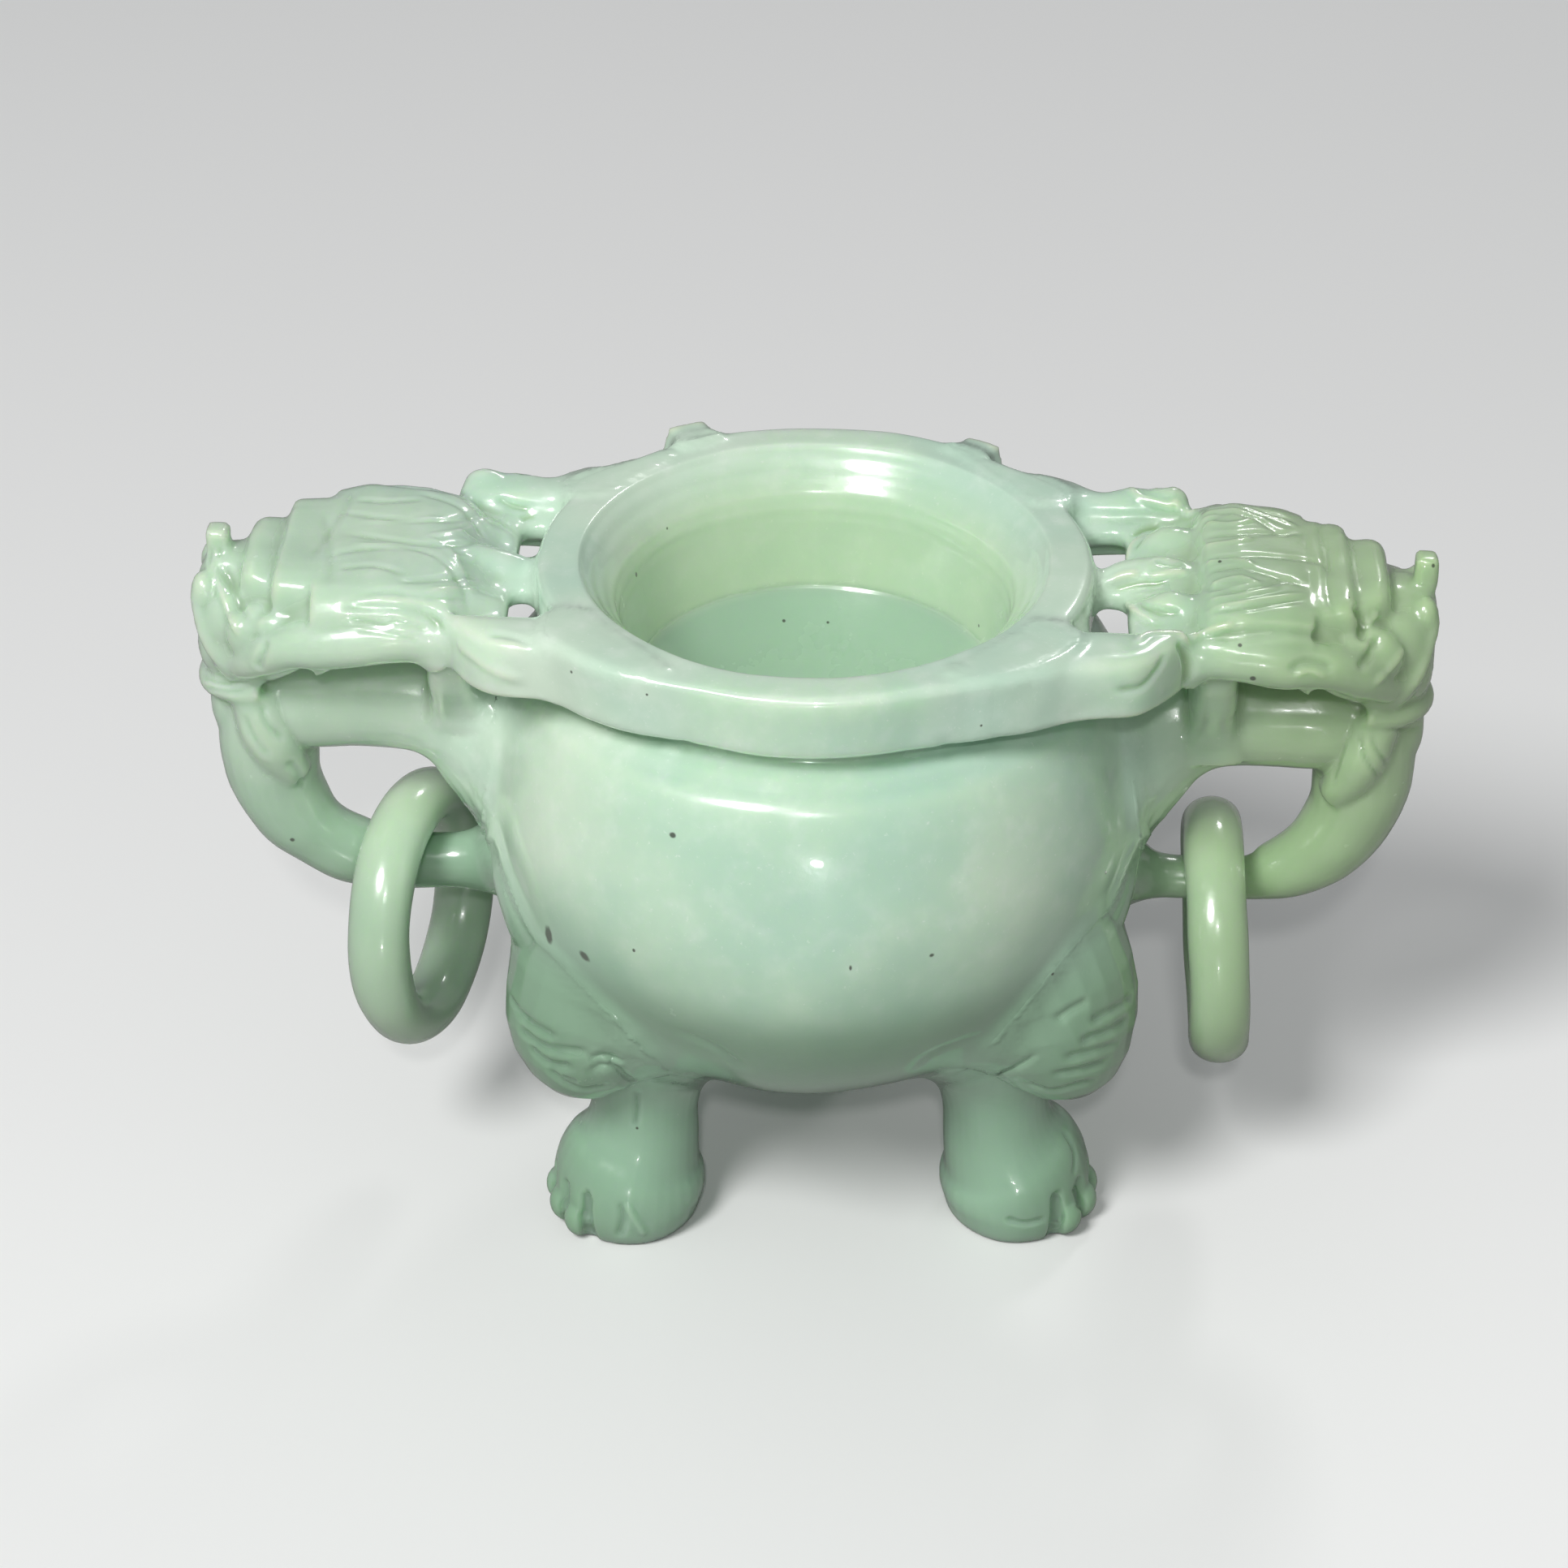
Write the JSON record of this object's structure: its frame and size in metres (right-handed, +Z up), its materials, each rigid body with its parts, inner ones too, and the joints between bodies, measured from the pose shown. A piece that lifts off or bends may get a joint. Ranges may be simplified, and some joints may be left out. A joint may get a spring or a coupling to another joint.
{
  "type": "tripod incense burner",
  "caption": "Carved pale green stone incense burner: round open bowl on beast legs, with beast-head handles whose loops carry loose rings.",
  "frame": {"origin": "on the table plane, under the bowl's axis; the back leg reaches a little further than the belly, so the box's centre lies under 1 mm behind it", "axes": "+Z up along the bowl's axis; +X from the bowl to the right-hand handle as pictured; -Y towards the viewer, between the two front legs"},
  "size_m": [0.1662, 0.091, 0.0988],
  "materials": {
    "jade": "polished, translucent",
    "jade_pale": "polished, translucent"
  },
  "bodies": {
    "vessel": {"bowl": "jade", "handle_left": "jade_pale", "handle_right": "jade_pale", "leg_front_left": "jade", "leg_front_right": "jade", "leg_back": "jade"},
    "loose_ring_left": {"ring_left": "jade_pale"},
    "loose_ring_right": {"ring_right": "jade_pale"}
  },
  "joints": [
    {"name": "ring_left_swing", "type": "hinge", "parent": "vessel", "child": "loose_ring_left", "pos_m": [-0.0548, 0, 0.0474], "axis": [1, 0, 0], "range_deg": [-98, 60]},
    {"name": "ring_right_swing", "type": "hinge", "parent": "vessel", "child": "loose_ring_right", "pos_m": [0.056, 0, 0.0474], "axis": [1, 0, 0], "range_deg": [-100, 100]}
  ]
}
